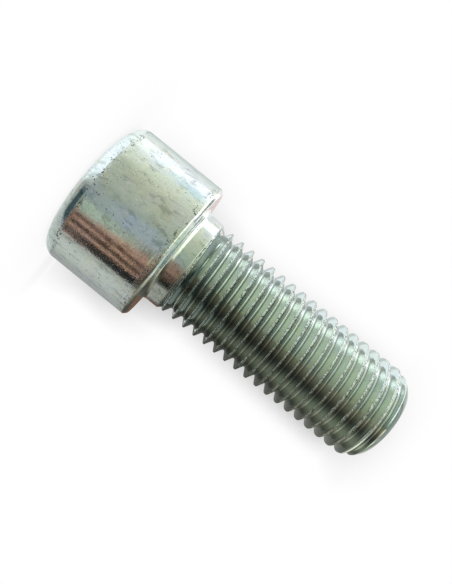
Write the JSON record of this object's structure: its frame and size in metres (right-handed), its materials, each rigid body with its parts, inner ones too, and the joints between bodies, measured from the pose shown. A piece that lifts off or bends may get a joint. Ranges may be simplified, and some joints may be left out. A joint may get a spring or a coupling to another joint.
{
  "type": "hex socket cap screw",
  "caption": "Zinc plated hex socket cap screw with a tall cylindrical head, short plain neck and right-hand thread to the point, for clamping machine parts together.",
  "frame": {"origin": "on the screw's axis, in the plane of the bearing face under the head", "axes": "+Z along the axis from the bearing face to the point, so the screw stands on its head; +X through a corner of the hex socket"},
  "size_m": [0.024, 0.024, 0.056],
  "materials": {
    "zinc_plated_steel": "bright zinc plating, satin, with fine dark pits"
  },
  "bodies": {
    "root": {"cap_screw": "zinc_plated_steel"}
  },
  "joints": []
}
